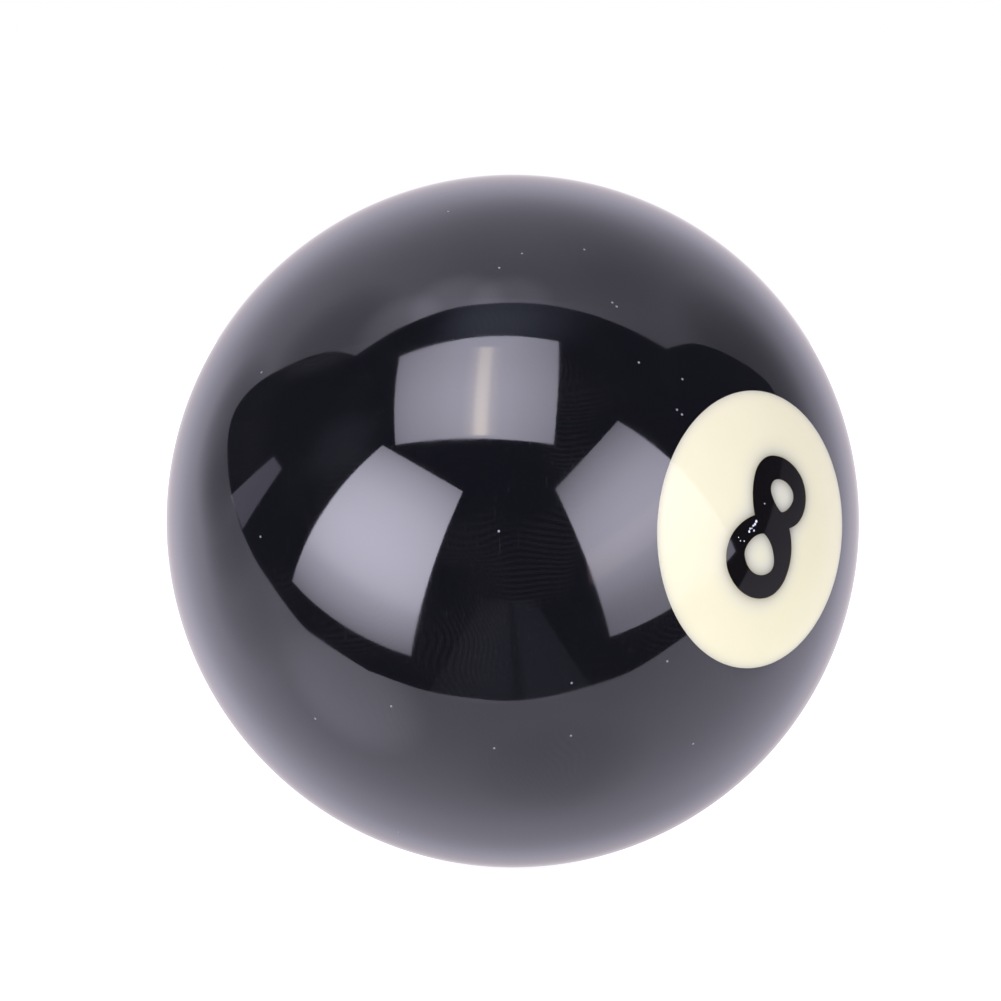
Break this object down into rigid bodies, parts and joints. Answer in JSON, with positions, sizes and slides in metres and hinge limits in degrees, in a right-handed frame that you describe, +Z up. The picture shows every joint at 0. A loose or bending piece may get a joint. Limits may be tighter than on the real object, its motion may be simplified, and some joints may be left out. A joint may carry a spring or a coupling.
{
  "type": "numbered pool ball",
  "caption": "Glossy black cast-resin pool ball with a round ivory disc inlaid flush on opposite sides, each carrying a black numeral.",
  "frame": {"origin": "centre of the ball", "axes": "+Z up as the ball lies on a table, and Y along the number axis: the front number faces -Y, its figure leaning 26.7 degrees clockwise from upright, and the rear number faces +Y"},
  "size_m": [0.0572, 0.0572, 0.0572],
  "materials": {
    "black_resin": "polished cast phenolic resin, with faint hairline scratches",
    "ivory_resin": "polished ivory cast resin",
    "figure_resin": "polished black inlay resin, with a few tiny pits"
  },
  "bodies": {
    "root": {"ball_body": "black_resin", "front_number_plug": "ivory_resin", "front_numeral": "figure_resin", "rear_number_plug": "ivory_resin", "rear_numeral": "figure_resin"}
  },
  "joints": []
}
